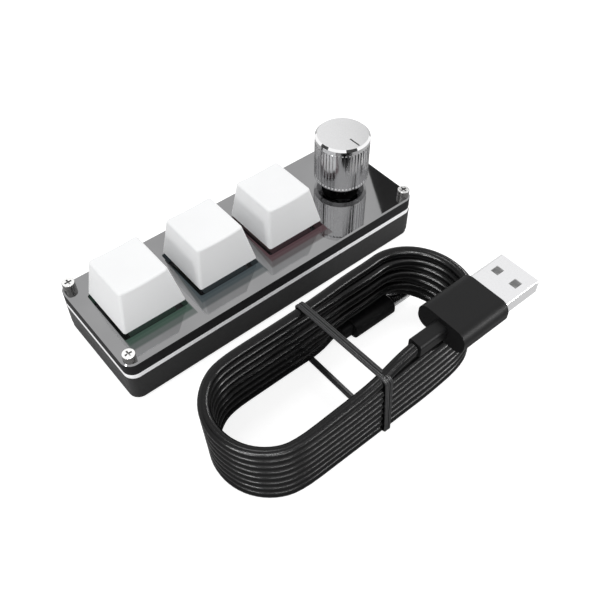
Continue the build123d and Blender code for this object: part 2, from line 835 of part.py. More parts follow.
def cord_tube(route, name):
    """Round cord along straight runs joined by arcs as large as their two runs allow."""
    points = [Vector(*point) for point in route]
    runs = [second - first for first, second in zip(points, points[1:])]
    radii = [
        0.45 * min(before.length, after.length)
        / math.tan(math.radians(before.get_angle(after)) / 2)
        for before, after in zip(runs, runs[1:])
    ]
    with BuildPart() as tube:
        with BuildLine():
            path = FilletPolyline(*points, radius=radii)
        with BuildSketch(Plane(origin=path @ 0, z_dir=path % 0)):
            Circle(cord_d / 2)
        sweep(path=path)
    section = math.pi * cord_d**2 / 4
    print(name, "radii", [round(r, 1) for r in radii], "length", round(path.length, 2))
    print(name, "volume", round(tube.part.volume, 2), "of", round(section * path.length, 2))
    save(tube.part, name)


cord_tube(lead_a_route, "cable_lead_a")
cord_tube(lead_c_route, "cable_lead_c")
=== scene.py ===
import math

import bpy
from mathutils import Matrix, Vector


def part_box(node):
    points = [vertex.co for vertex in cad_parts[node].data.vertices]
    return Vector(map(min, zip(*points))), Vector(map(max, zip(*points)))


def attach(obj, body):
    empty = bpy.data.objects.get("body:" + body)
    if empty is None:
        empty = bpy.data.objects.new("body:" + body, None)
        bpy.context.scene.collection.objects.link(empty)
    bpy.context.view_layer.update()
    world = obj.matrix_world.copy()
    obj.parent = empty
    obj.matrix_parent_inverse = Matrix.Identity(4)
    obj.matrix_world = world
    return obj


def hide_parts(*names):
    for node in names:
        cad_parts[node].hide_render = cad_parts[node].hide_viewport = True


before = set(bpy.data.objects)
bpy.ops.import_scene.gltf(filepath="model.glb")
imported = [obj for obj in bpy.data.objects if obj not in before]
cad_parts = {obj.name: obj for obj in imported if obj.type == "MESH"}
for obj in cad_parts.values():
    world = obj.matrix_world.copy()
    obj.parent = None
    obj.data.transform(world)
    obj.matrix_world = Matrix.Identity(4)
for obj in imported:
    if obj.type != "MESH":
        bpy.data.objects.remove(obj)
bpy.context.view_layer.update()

MM = 0.001
WHITE = (1.0, 1.0, 1.0, 1.0)
BLACK = (0.0, 0.0, 0.0)


def link_object(name, data):
    """A new object with the given data, in the scene."""
    thing = bpy.data.objects.new(name, data)
    bpy.context.scene.collection.objects.link(thing)
    return thing


def make_mesh(name, verts, faces, material):
    """A new mesh object with one material; places in metres."""
    mesh = bpy.data.meshes.new(name)
    mesh.from_pydata([tuple(v) for v in verts], [], faces)
    mesh.materials.append(material)
    return link_object(name, mesh)


# ---------------------------------------------------------------- camera

CAMERA_PLACE = Vector((-85.045, -127.469, 167.540)) * MM
CAMERA_TARGET = Vector((1.894, -21.752, 6.5)) * MM
CAMERA_ROLL = math.radians(-0.187)
CAMERA_LENS = 45.95
CAMERA_SENSOR = 36.0
CAMERA_NEAREST = 0.01
CAMERA_FARTHEST = 20.0


def make_camera():
    """Looks from the front left, about 50 degrees above the desk."""
    data = bpy.data.cameras.new("camera")
    data.lens = CAMERA_LENS
    data.sensor_width = CAMERA_SENSOR
    data.clip_start = CAMERA_NEAREST
    data.clip_end = CAMERA_FARTHEST
    camera = link_object("camera", data)
    aim = (CAMERA_TARGET - CAMERA_PLACE).to_track_quat("-Z", "Y").to_matrix().to_4x4()
    roll = Matrix.Rotation(CAMERA_ROLL, 4, "Z")
    camera.matrix_world = Matrix.Translation(CAMERA_PLACE) @ aim @ roll
    bpy.context.scene.camera = camera


# ---------------------------------------------------------------- backdrop and table

WORLD_FILL = 0.84
TABLE_HALF = 6.0
TABLE_GLOW = 0.80
TABLE_GREY = 0.8
TABLE_MIRRORED_GREY = 0.45


def seen_directly(nodes, links):
    """1 for rays that show the backdrop itself or its reflection, 0 for rays that light things."""
    path = nodes.new("ShaderNodeLightPath")
    seen = path.outputs["Is Camera Ray"]
    for ray in ("Is Glossy Ray", "Is Transmission Ray"):
        either = nodes.new("ShaderNodeMath")
        either.operation = "MAXIMUM"
        links.new(seen, either.inputs[0])
        links.new(path.outputs[ray], either.inputs[1])
        seen = either.outputs[0]
    return seen


def add_shader_mix(nodes, links, factor, first, second):
    """The first shader where the factor is 0, the second where it is 1."""
    mix = nodes.new("ShaderNodeMixShader")
    links.new(factor, mix.inputs[0])
    links.new(first, mix.inputs[1])
    links.new(second, mix.inputs[2])
    return mix.outputs[0]


def add_background(nodes, strength):
    """White light of the given strength from all round."""
    background = nodes.new("ShaderNodeBackground")
    background.inputs["Color"].default_value = WHITE
    background.inputs["Strength"].default_value = strength
    return background.outputs[0]


def make_world():
    """White behind the object, and an even fill light on it."""
    world = bpy.data.worlds.new("studio")
    bpy.context.scene.world = world
    world.use_nodes = True
    nodes, links = world.node_tree.nodes, world.node_tree.links
    nodes.clear()
    light = add_background(nodes, WORLD_FILL)
    backdrop = add_background(nodes, 1.0)
    mix = add_shader_mix(nodes, links, seen_directly(nodes, links), light, backdrop)
    out = nodes.new("ShaderNodeOutputWorld")
    links.new(mix, out.inputs["Surface"])


def add_matt(nodes, grey):
    """A matt surface of the given grey."""
    matt = nodes.new("ShaderNodeBsdfDiffuse")
    matt.inputs["Color"].default_value = (grey, grey, grey, 1.0)
    return matt.outputs[0]


def add_glow(nodes, links, shader, strength):
    """A shader with a white glow on top of it."""
    glow = nodes.new("ShaderNodeEmission")
    glow.inputs["Color"].default_value = WHITE
    glow.inputs["Strength"].default_value = strength
    both = nodes.new("ShaderNodeAddShader")
    links.new(shader, both.inputs[0])
    links.new(glow.outputs[0], both.inputs[1])
    return both.outputs[0]


def table_material():
    """A white table top that glows a little where it is looked at, so that only a faint shadow
    shows. Glossy sides mirror a darker table, as they do between black flags."""
    material = bpy.data.materials.new("table_top")
    material.use_nodes = True
    nodes, links = material.node_tree.nodes, material.node_tree.links
    nodes.clear()
    matt = add_matt(nodes, TABLE_GREY)
    dim = add_matt(nodes, TABLE_MIRRORED_GREY)
    bright = add_glow(nodes, links, dim, TABLE_GLOW)
    seen = add_shader_mix(nodes, links, seen_directly(nodes, links), matt, bright)
    path = nodes.new("ShaderNodeLightPath")
    top = add_shader_mix(nodes, links, path.outputs["Is Glossy Ray"], seen, dim)
    out = nodes.new("ShaderNodeOutputMaterial")
    links.new(top, out.inputs["Surface"])
    return material


def make_sheet(name, corners, material):
    """A flat four-sided sheet of the studio."""
    sheet = make_mesh(name, corners, [(0, 1, 2, 3)], material)
    return sheet


def make_table():
    half = TABLE_HALF
    corners = [(-half, -half, 0), (half, -half, 0), (half, half, 0), (-half, half, 0)]
    make_sheet("table", corners, table_material())


# ---------------------------------------------------------------- dark cards

CARD_GREY = 0.065
# the slanted left edge that the polished panel mirrors beside the knob, from two of its points
PANEL_CARD_UPPER = Vector((252.9, 179.0, 287.6)) * MM
PANEL_CARD_LOWER = Vector((271.0, 221.0, 267.1)) * MM
# where that edge starts and ends, in lengths from the upper point to the lower one
PANEL_CARD_START = -0.3
PANEL_CARD_END = 1.7
PANEL_CARD_ACROSS = Vector((0.68, -0.73, 0.0))
PANEL_CARD_WIDTH = 0.040
# as seen from the knob, drawn at a distance of 1: each card's two ends, and half its width
KNOB_CARDS = (
    ("card_knob_left", (-0.60, 0.62, 0.50), (-0.71, 0.20, 0.67), 0.10),
    ("card_knob_front", (-0.25, -0.59, 0.77), (0.33, -0.69, 0.64), 0.10),
)
# their real distance in metres, by which they are enlarged or reduced
KNOB_CARD_AWAY = 0.6
# how far the middle of the knob's chamfer lies below its top, in millimetres
CHAMFER_DEPTH = 0.4


def card_material():
    material = bpy.data.materials.new("dark_card")
    material.use_nodes = True
    shader = material.node_tree.nodes["Principled BSDF"]
    shader.inputs["Base Color"].default_value = (CARD_GREY, CARD_GREY, CARD_GREY, 1.0)
    shader.inputs["Roughness"].default_value = 1.0
    shader.inputs["Specular IOR Level"].default_value = 0.0
    return material


def make_card(name, corners, material):
    """A dark card beside the set: polished parts mirror it, and it takes no light away."""
    card = make_sheet(name, corners, material)
    card.visible_camera = False
    card.visible_diffuse = False
    card.visible_shadow = False
    card.visible_transmission = False


def make_panel_card(material):
    along = PANEL_CARD_LOWER - PANEL_CARD_UPPER
    start = PANEL_CARD_UPPER + along * PANEL_CARD_START
    end = PANEL_CARD_UPPER + along * PANEL_CARD_END
    across = PANEL_CARD_ACROSS * PANEL_CARD_WIDTH
    make_card("card_right", [start, end, end + across, start + across], material)


def make_knob_cards(material):
    """Two cards whose mirror images are the dark arcs on the knob's chamfer."""
    knob_low, knob_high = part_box("knob_shell")
    chamfer = (knob_low + knob_high) / 2
    chamfer.z = knob_high.z - CHAMFER_DEPTH * MM
    for name, first, last, half in KNOB_CARDS:
        first, last = Vector(first), Vector(last)
        side = first.cross(last).normalized() * half
        corners = [first - side, last - side, last + side, first + side]
        make_card(name, [chamfer + corner * KNOB_CARD_AWAY for corner in corners], material)


# ---------------------------------------------------------------- lamps

LAMP_TARGET = (0.0, -0.02, 0.01)
# name, place and size in metres, power in watts
LAMPS = (
    ("lamp_top", (0.05, 0.20, 0.95), 0.20, 1.7),
    ("lamp_left", (-0.95, -0.15, 0.55), 0.20, 2.3),
    ("lamp_front", (0.60, -0.71, 0.36), 0.16, 1.8),
)
STRIP_TARGET = (0.0, -0.06, 0.02)
STRIP_LENGTH = 0.60
STRIP_WIDTH = 0.05
# name, place in metres, power in watts
STRIPS = (
    ("strip_front", (0.45, -0.86, 0.37), 4.5),
    ("strip_corner", (-0.35, -0.91, 0.44), 4.2),
    ("strip_left", (-0.90, -0.31, 0.44), 9.0),
    ("strip_high", (-0.55, -0.48, 0.72), 8.0),
    ("strip_middle", (-0.08, -0.63, 0.78), 4.8),
    ("strip_right", (0.85, 0.02, 0.52), 4.8),
)
# those that also light the plugs' grips
GRIP_STRIPS = ("strip_front",)


def make_lamp(name, place, target, size, power):
    """A square soft box that points at the target; returns it."""
    data = bpy.data.lights.new(name, "AREA")
    data.shape = "SQUARE"
    data.size = size
    data.energy = power
    lamp = link_object(name, data)
    lamp.location = place
    lamp.rotation_mode = "QUATERNION"
    lamp.rotation_quaternion = (Vector(target) - Vector(place)).to_track_quat("-Z", "Y")
    return lamp


def make_lamps():
    for name, place, size, power in LAMPS:
        make_lamp(name, place, LAMP_TARGET, size, power)


def make_strip(name, place, power, receivers):
    """A long narrow lamp that shows as a highlight only, and only on its receivers."""
    lamp = make_lamp(name, place, STRIP_TARGET, STRIP_LENGTH, power)
    lamp.data.shape = "RECTANGLE"
    lamp.data.size_y = STRIP_WIDTH
    lamp.visible_diffuse = False
    lamp.light_linking.receiver_collection = receivers


def make_receivers(name, pieces):
    receivers = bpy.data.collections.new(name)
    for piece in pieces:
        receivers.objects.link(piece)
    return receivers


def make_strips(cords, grips):
    """Highlights on the black cord and its strap; the plugs' grips get one of them."""
    lit_cords = make_receivers("lit_cords", cords)
    lit_rubber = make_receivers("lit_rubber", cords + grips)
    for name, place, power in STRIPS:
        make_strip(name, place, power, lit_rubber if name in GRIP_STRIPS else lit_cords)


# ---------------------------------------------------------------- nodes of materials

# most values of a noise texture lie between these two
NOISE_LOW = 0.3
NOISE_HIGH = 0.7
NOISE_DETAIL = 3.0


def blank_material(name):
    """A new material with its Principled shader, and its nodes and links."""
    material = bpy.data.materials.new(name)
    material.use_nodes = True
    nodes, links = material.node_tree.nodes, material.node_tree.links
    return material, nodes["Principled BSDF"], nodes, links


def shade(colour, factor):
    return tuple(min(1.0, channel * factor) for channel in colour)


def add_noise(nodes, links, scale, detail=NOISE_DETAIL):
    """Noise in the object's own space; scale is in cells per metre."""
    space = nodes.new("ShaderNodeTexCoord")
    noise = nodes.new("ShaderNodeTexNoise")
    noise.inputs["Scale"].default_value = scale
    noise.inputs["Detail"].default_value = detail
    links.new(space.outputs["Object"], noise.inputs["Vector"])
    return noise.outputs["Fac"]


def add_ramp(nodes, links, noise, low, high):
    """A colour that follows a noise, between low and high."""
    ramp = nodes.new("ShaderNodeValToRGB")
    stops = ((NOISE_LOW, low), (NOISE_HIGH, high))
    for element, (place, colour) in zip(ramp.color_ramp.elements, stops):
        element.position = place
        element.color = (*colour, 1.0)
    links.new(noise, ramp.inputs["Fac"])
    return ramp.outputs["Color"]


def add_spread(nodes, links, value, start, end, low=0.0, high=1.0):
    """Spreads a value that runs from start to end between low and high."""
    spread = nodes.new("ShaderNodeMapRange")
    spread.inputs["From Min"].default_value = start
    spread.inputs["From Max"].default_value = end
    spread.inputs["To Min"].default_value = low
    spread.inputs["To Max"].default_value = high
    links.new(value, spread.inputs["Value"])
    return spread.outputs[0]


def add_range(nodes, links, noise, low, high):
    """A number that follows a noise, between low and high."""
    return add_spread(nodes, links, noise, NOISE_LOW, NOISE_HIGH, low, high)


def add_bump(nodes, links, shader, height, depth):
    """Bump of the given depth in metres."""
    bump = nodes.new("ShaderNodeBump")
    bump.inputs["Strength"].default_value = 1.0
    bump.inputs["Distance"].default_value = depth
    links.new(height, bump.inputs["Height"])
    links.new(bump.outputs["Normal"], shader.inputs["Normal"])


def add_math(nodes, links, operation, first, second):
    """A Math node; first and second are sockets or numbers."""
    node = nodes.new("ShaderNodeMath")
    node.operation = operation
    for place, value in ((0, first), (1, second)):
        if isinstance(value, float):
            node.inputs[place].default_value = value
        else:
            links.new(value, node.inputs[place])
    return node.outputs[0]


def add_window(nodes, links, value, middle, half):
    """1 where a value is within half of middle, 0 elsewhere."""
    window = nodes.new("ShaderNodeMath")
    window.operation = "COMPARE"
    window.inputs[1].default_value = middle
    window.inputs[2].default_value = half
    links.new(value, window.inputs[0])
    return window.outputs[0]


def add_mix(nodes, links, factor, low, high):
    """A colour between low and high; each is a colour or a socket."""
    mix = nodes.new("ShaderNodeMix")
    mix.data_type = "RGBA"
    links.new(factor, mix.inputs[0])
    for place, value in ((6, low), (7, high)):
        if isinstance(value, tuple):
            mix.inputs[place].default_value = (*value, 1.0)
        else:
            links.new(value, mix.inputs[place])
    return mix.outputs[2]


def add_number_mix(nodes, links, factor, low, high):
    """A number between low and high; each is a number or a socket."""
    mix = nodes.new("ShaderNodeMix")
    links.new(factor, mix.inputs[0])
    for place, value in ((2, low), (3, high)):
        if isinstance(value, float):
            mix.inputs[place].default_value = value
        else:
            links.new(value, mix.inputs[place])
    return mix.outputs[0]


def add_place(nodes, links):
    """A point's X, Y and Z outputs, in the object's own space."""
    space = nodes.new("ShaderNodeTexCoord")
    split = nodes.new("ShaderNodeSeparateXYZ")
    links.new(space.outputs["Object"], split.inputs[0])
    return split.outputs


def add_facing(nodes, links):
    """How far the surface faces up: 1 for a level top, 0 for a side."""
    geometry = nodes.new("ShaderNodeNewGeometry")
    split = nodes.new("ShaderNodeSeparateXYZ")
    links.new(geometry.outputs["Normal"], split.inputs[0])
    return split.outputs["Z"]


def add_upward(nodes, links, low, high):
    """0 where the surface faces up less than low, 1 where it does so more than high."""
    return add_spread(nodes, links, add_facing(nodes, links), low, high)


# ---------------------------------------------------------------- plain materials

# cells per metre: the patches of colour, and the grain of most surfaces
PATCH = 120.0
GRAIN = 1800.0
GRAIN_DETAIL = 5.0


def finish(name, colour, rough, metal=0.0, specular=0.5, mottle=0.06, grain=GRAIN, depth=0.02):
    """A moulded, cast or painted surface: its colour varies in patches, its gloss in a fine
    grain. grain is cells per metre, depth is in millimetres, rough is (lowest, highest)."""
    material, shader, nodes, links = blank_material(name)
    shader.inputs["Metallic"].default_value = metal
    shader.inputs["Specular IOR Level"].default_value = specular
    patches = add_noise(nodes, links, PATCH)
    grains = add_noise(nodes, links, grain, GRAIN_DETAIL)
    dark, light = shade(colour, 1.0 - mottle), shade(colour, 1.0 + mottle)
    links.new(add_ramp(nodes, links, patches, dark, light), shader.inputs["Base Color"])
    links.new(add_range(nodes, links, grains, *rough), shader.inputs["Roughness"])
    add_bump(nodes, links, shader, grains, depth * MM)
    return material


# ---------------------------------------------------------------- key lamps and housings

KEY_GLOWS = ((0.05, 0.55, 0.18), (0.03, 0.40, 0.75), (0.75, 0.04, 0.05))
# the same lamps as a faint painted glow on the housings and through the smoked panel
KEY_PAINTED_GLOWS = ((0.046, 0.078, 0.062), (0.052, 0.066, 0.072), (0.080, 0.048, 0.054))
LENS_PATCH = 900.0
LENS_SHADE = 0.7
LENS_ROUGH = (0.15, 0.3)
LENS_GLOW = 30.0
HOUSING_BLACKS = ((0.026, 0.026, 0.028), (0.034, 0.034, 0.036))
HOUSING_ROUGH = (0.3, 0.45)
# strength of the housings' painted glow, standing for the light of their key lamps
HOUSING_PAINTED_GLOW = 0.3


def make_lens_material(name, colour):
    """The clear lens of a small key lamp with its coloured glow."""
    material, shader, nodes, links = blank_material(name)
    patches = add_noise(nodes, links, LENS_PATCH)
    tint = add_ramp(nodes, links, patches, shade(colour, LENS_SHADE), colour)
    links.new(tint, shader.inputs["Base Color"])
    links.new(tint, shader.inputs["Emission Color"])
    links.new(add_range(nodes, links, patches, *LENS_ROUGH), shader.inputs["Roughness"])
    shader.inputs["Emission Strength"].default_value = LENS_GLOW
    return material


def make_painted_glow_housing_material(name, tint):
    """Black moulding of a switch, with a painted glow that stands for the light of its key lamp.
    """
    material, shader, nodes, links = blank_material(name)
    grains = add_noise(nodes, links, GRAIN)
    links.new(add_ramp(nodes, links, grains, *HOUSING_BLACKS), shader.inputs["Base Color"])
    links.new(add_range(nodes, links, grains, *HOUSING_ROUGH), shader.inputs["Roughness"])
    shader.inputs["Emission Color"].default_value = (*tint, 1.0)
    shader.inputs["Emission Strength"].default_value = HOUSING_PAINTED_GLOW
    return material


# ---------------------------------------------------------------- the polished panel

PANEL_SHEEN = ((0.29, 0.29, 0.294), (0.33, 0.33, 0.334))
PANEL_WEAR = 60.0
PANEL_POLISH = (0.015, 0.05)
PANEL_TOP_FACING = (0.5, 0.65)
PANEL_EDGE = (0.006, 0.006, 0.007)
PANEL_EDGE_ROUGH = 0.55
PANEL_SPECULAR = 0.25
# widths of the painted shade zone on each side of a key cap, in millimetres; the left one differs
# by key
RIM_LEFT = (0.3, 1.3, 1.3)
RIM_RIGHT = 0.3
RIM_BACK = 0.3
RIM_FRONT = 2.5
# the left zone narrows from the front to the back, to this share of its width
RIM_LEAST = 0.1
# the grey zone of lighter painted shade round the dark one ends at this many of its widths
RIM_OUTER = 1.75
RIM_SOFT = 0.12
# colours of the painted shade beside the keys: dark next to them, grey farther out
RIM_PAINTED_SHADE = (0.02, 0.02, 0.02)
RIM_PAINTED_HALF_SHADE = (0.13, 0.135, 0.135)
# the share of a key's painted glow that shows in the grey zone
RIM_HALF_SHADE_PAINTED_GLOW = 0.35


def add_rim(nodes, links, place, cap, left):
    """How far a point of the panel is from a key cap, in widths of the painted shade zone on that
    side.
    """
    def calculate(operation, first, second):
        return add_math(nodes, links, operation, first, second)

    x, y = place["X"], place["Y"]
    low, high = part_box(cap)
    share = calculate("DIVIDE", calculate("SUBTRACT", high.y, y), high.y - low.y)
    width = calculate("MULTIPLY", calculate("MAXIMUM", share, RIM_LEAST), left * MM)
    farthest = calculate("DIVIDE", calculate("SUBTRACT", low.x, x), width)
    others = (
        (calculate("SUBTRACT", x, high.x), RIM_RIGHT),
        (calculate("SUBTRACT", low.y, y), RIM_FRONT),
        (calculate("SUBTRACT", y, high.y), RIM_BACK),
    )
    for beyond, rim in others:
        farthest = calculate("MAXIMUM", farthest, calculate("DIVIDE", beyond, rim * MM))
    return farthest


def add_fade(nodes, links, value, edge):
    """1 below the edge, 0 above it."""
    return add_spread(nodes, links, value, edge - RIM_SOFT, edge + RIM_SOFT, 1.0, 0.0)


def add_painted_key_shade(nodes, links, sheen_and_painted_shade):
    """The panel's colour with painted shade beside the keys, dark next to them and grey farther
    out, and a faint painted glow of the key lamps there.
    """
    place = add_place(nodes, links)
    glow = BLACK
    for number, (tint, left) in enumerate(zip(KEY_PAINTED_GLOWS, RIM_LEFT), start=1):
        rim = add_rim(nodes, links, place, f"keycap_{number}", left)
        outer = add_fade(nodes, links, rim, RIM_OUTER)
        inner = add_fade(nodes, links, rim, 1.0)
        # painted shade round each key, and the key lamp's painted glow in it
        sheen_and_painted_shade = add_mix(nodes, links, outer, sheen_and_painted_shade, RIM_PAINTED_HALF_SHADE)
        sheen_and_painted_shade = add_mix(nodes, links, inner, sheen_and_painted_shade, RIM_PAINTED_SHADE)
        glow = add_mix(nodes, links, outer, glow, shade(tint, RIM_HALF_SHADE_PAINTED_GLOW))
        glow = add_mix(nodes, links, inner, glow, tint)
    return sheen_and_painted_shade, glow


def make_panel_material():
    """Polished black sheet: its top mirrors like smoked glass, its sawn edges are dark; beside the
    keys it has painted shade and a painted glow of the key lamps.
    """
    material, shader, nodes, links = blank_material("polished_panel")
    top = add_upward(nodes, links, *PANEL_TOP_FACING)
    wear = add_noise(nodes, links, PANEL_WEAR)
    sheen_and_painted_shade, glow = add_painted_key_shade(nodes, links, add_ramp(nodes, links, wear, *PANEL_SHEEN))
    polish = add_range(nodes, links, wear, *PANEL_POLISH)
    rough = add_number_mix(nodes, links, top, PANEL_EDGE_ROUGH, polish)
    links.new(add_mix(nodes, links, top, PANEL_EDGE, sheen_and_painted_shade), shader.inputs["Base Color"])
    links.new(glow, shader.inputs["Emission Color"])
    links.new(top, shader.inputs["Metallic"])
    links.new(rough, shader.inputs["Roughness"])
    shader.inputs["Emission Strength"].default_value = 1.0
    shader.inputs["Specular IOR Level"].default_value = PANEL_SPECULAR
    return material


# ---------------------------------------------------------------- screws, plate and plugs

# the screws' sides and recess, painted darker than the heads as shade
SCREW_SIDES_PAINTED_SHADE = ((0.22, 0.22, 0.215), (0.30, 0.295, 0.29))
SCREW_HEAD = (0.93, 0.93, 0.92)
SCREW_HEAD_FACING = (0.75, 0.97)
SCREW_ROUGH = (0.18, 0.32)
PLATE_WHITES = ((0.84, 0.84, 0.85), (0.88, 0.88, 0.89))
PLATE_TOP = (0.03, 0.03, 0.032)
PLATE_TOP_FACING = (0.8, 0.95)
PLATE_ROUGH = (0.3, 0.45)
# the painted glow of the plate's edge
PLATE_PAINTED_GLOW = (0.12, 0.12, 0.122)
PLUG_STEELS = ((0.82, 0.82, 0.83), (0.84, 0.84, 0.85))
PLUG_ROUGH = (0.18, 0.21)
# the painted glow of the plug shells' sides, standing for a soft reflection
PLUG_PAINTED_GLOW = (0.16, 0.16, 0.16)
SIDE_GLOW_FACING = (0.2, 0.7)


def add_painted_side_glow(nodes, links, shader, colour):
    """A faint painted glow of the sides, and none of the top."""
    upward = add_upward(nodes, links, *SIDE_GLOW_FACING)
    links.new(add_mix(nodes, links, upward, colour, BLACK), shader.inputs["Emission Color"])
    shader.inputs["Emission Strength"].default_value = 1.0


def make_screw_material():
    """Plated steel: polished flat heads; the sides and the recess are painted duller and darker,
    as shade.
    """
    material, shader, nodes, links = blank_material("screw_nickel")
    shader.inputs["Metallic"].default_value = 1.0
    grains = add_noise(nodes, links, GRAIN)
    # painted shade on the sides and in the recess
    sides = add_ramp(nodes, links, grains, *SCREW_SIDES_PAINTED_SHADE)
    head = add_upward(nodes, links, *SCREW_HEAD_FACING)
    links.new(add_mix(nodes, links, head, sides, SCREW_HEAD), shader.inputs["Base Color"])
    links.new(add_range(nodes, links, grains, *SCREW_ROUGH), shader.inputs["Roughness"])
    return material


def make_plate_material():
    """White coated sheet with a faint painted glow on its edge; its top, under the panel, is dark.
    """
    material, shader, nodes, links = blank_material("white_plate")
    grains = add_noise(nodes, links, GRAIN)
    white = add_ramp(nodes, links, grains, *PLATE_WHITES)
    top = add_upward(nodes, links, *PLATE_TOP_FACING)
    links.new(add_mix(nodes, links, top, white, PLATE_TOP), shader.inputs["Base Color"])
    links.new(add_range(nodes, links, grains, *PLATE_ROUGH), shader.inputs["Roughness"])
    add_painted_side_glow(nodes, links, shader, PLATE_PAINTED_GLOW)
    return material


def make_plug_material():
    """Bright plated steel of the plug shells, with a painted glow on the sides that stands for a
    soft reflection.
    """
    material, shader, nodes, links = blank_material("plug_steel")
    shader.inputs["Metallic"].default_value = 1.0
    grains = add_noise(nodes, links, GRAIN)
    links.new(add_ramp(nodes, links, grains, *PLUG_STEELS), shader.inputs["Base Color"])
    links.new(add_range(nodes, links, grains, *PLUG_ROUGH), shader.inputs["Roughness"])
    add_painted_side_glow(nodes, links, shader, PLUG_PAINTED_GLOW)
    return material


# ---------------------------------------------------------------- the knob

KNOB_GRAIN = 2600.0
KNOB_GRAIN_DEPTH = 0.002
KNOB_SIDES = ((0.70, 0.70, 0.71), (0.86, 0.86, 0.865))
KNOB_SIDE_ROUGH = (0.11, 0.17)
KNOB_FACES = ((0.74, 0.74, 0.745), (0.80, 0.80, 0.805))
KNOB_FACE_FACING = (0.9, 0.97)
KNOB_FACE_ROUGH = 0.28
# the chamfer's colour, painted brighter than the rest of the metal as a highlight
CHAMFER_PAINTED_HIGHLIGHT = (0.95, 0.95, 0.955)
CHAMFER_ROUGH = 0.03
# the chamfer is where the surface faces up this far, give or take the second number
CHAMFER_FACING = 0.707
CHAMFER_FACING_HALF = 0.1
# the pointer's floor lies this far below the knob's top, give or take the second; in millimetres
POINTER_DEPTH = 0.2
POINTER_HALF = 0.05
POINTER_INK = (0.06, 0.06, 0.06)


def knob_colour(nodes, links, flat, chamfer, grains):
    """The metal's colour on the sides, top face and chamfer, with the inked pointer line; the
    chamfer is painted brighter as a highlight.
    """
    side = add_ramp(nodes, links, grains, *KNOB_SIDES)
    face = add_ramp(nodes, links, grains, *KNOB_FACES)
    metal = add_mix(nodes, links, flat, side, face)
    metal = add_mix(nodes, links, chamfer, metal, CHAMFER_PAINTED_HIGHLIGHT)
    z = add_place(nodes, links)["Z"]
    pointer_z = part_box("knob_shell")[1].z - POINTER_DEPTH * MM
    pointer = add_window(nodes, links, z, pointer_z, POINTER_HALF * MM)
    ink = add_math(nodes, links, "MULTIPLY", flat, pointer)
    return add_mix(nodes, links, ink, metal, POINTER_INK)


def knob_roughness(nodes, links, flat, chamfer, grains):
    """Grained sides, a satin top face and a polished chamfer."""
    side = add_range(nodes, links, grains, *KNOB_SIDE_ROUGH)
    rough = add_number_mix(nodes, links, flat, side, KNOB_FACE_ROUGH)
    return add_number_mix(nodes, links, chamfer, rough, CHAMFER_ROUGH)


def make_knob_material():
    """Bright turned aluminium: satin top face, polished chamfer painted brighter as a highlight,
    flutes, inked pointer line.
    """
    material, shader, nodes, links = blank_material("turned_metal")
    shader.inputs["Metallic"].default_value = 1.0
    grains = add_noise(nodes, links, KNOB_GRAIN)
    flat = add_upward(nodes, links, *KNOB_FACE_FACING)
    facing = add_facing(nodes, links)
    chamfer = add_window(nodes, links, facing, CHAMFER_FACING, CHAMFER_FACING_HALF)
    surface = (flat, chamfer, grains)
    links.new(knob_colour(nodes, links, *surface), shader.inputs["Base Color"])
    links.new(knob_roughness(nodes, links, *surface), shader.inputs["Roughness"])
    add_bump(nodes, links, shader, grains, KNOB_GRAIN_DEPTH * MM)
    return material


# ---------------------------------------------------------------- the materials of the nodes

MATERIALS = {
    "case": finish("black_moulding", (0.024, 0.024, 0.0245), (0.3, 0.45), specular=0.3),
    "plate": make_plate_material(),
    "panel": make_panel_material(),
    "screw": make_screw_material(),
    "cap": finish("cap_plastic", (0.80, 0.805, 0.81), (0.38, 0.5), mottle=0.012, depth=0.012),
    "housing": finish("switch_housing", (0.03, 0.03, 0.032), (0.3, 0.45)),
    "stem": finish("switch_stem", (0.05, 0.16, 0.30), (0.3, 0.4)),
    "spring": finish("spring_wire", (0.75, 0.72, 0.66), (0.2, 0.3), metal=1.0, depth=0.004),
    "contact": finish("contact_brass", (0.78, 0.60, 0.32), (0.2, 0.32), metal=1.0, depth=0.004),
    "board": finish("board_lacquer", (0.012, 0.075, 0.032), (0.22, 0.35), grain=900.0),
    "chip": finish("chip_resin", (0.018, 0.018, 0.02), (0.4, 0.55)),
    "socket": finish("socket_steel", (0.72, 0.72, 0.73), (0.2, 0.3), metal=1.0, depth=0.004),
    "encoder_metal": finish("encoder_zinc", (0.62, 0.62, 0.63), (0.25, 0.4), metal=1.0),
    "shaft": finish("shaft_alloy", (0.70, 0.70, 0.71), (0.2, 0.3), metal=1.0, depth=0.004),
    "knob": make_knob_material(),
    "knob_core": finish("knob_core", (0.02, 0.02, 0.02), (0.45, 0.6)),
    "foot": finish("foot_rubber", (0.03, 0.03, 0.03), (0.6, 0.8), depth=0.03),
    "cord": finish("cord_jacket", (0.003, 0.003, 0.0032), (0.18, 0.28), specular=0.2, depth=0.006),
    "grip": finish("grip_rubber", (0.005, 0.005, 0.0053), (0.42, 0.52), specular=0.2,
                   grain=5200.0, depth=0.01),
    "plug_metal": make_plug_material(),
    "plug_core": finish("plug_core", (0.42, 0.42, 0.415), (0.35, 0.45), mottle=0.02),
    "tie": finish("tie_band", (0.022, 0.022, 0.023), (0.28, 0.4), specular=0.4, depth=0.004),
}
NODE_MATERIALS = {
    "bottom_case": "case",
    "rubber_feet": "foot",
    "switch_plate": "plate",
    "top_panel": "panel",
    "panel_screws": "screw",
    "circuit_board": "board",
    "controller_chip": "chip",
    "usb_socket": "socket",
    "usb_socket_tongue": "chip",
    "encoder_base": "housing",
    "encoder_cover": "encoder_metal",
    "encoder_shaft": "shaft",
    "encoder_plunger": "housing",
    "encoder_dome": "spring",
    "encoder_pins": "contact",
    "knob_shell": "knob",
    "knob_insert": "knob_core",
    "usb_a_grip": "grip",
    "usb_a_shell": "plug_metal",
    "usb_a_tongue": "plug_core",
    "usb_c_grip": "grip",
    "usb_c_shell": "plug_metal",
}
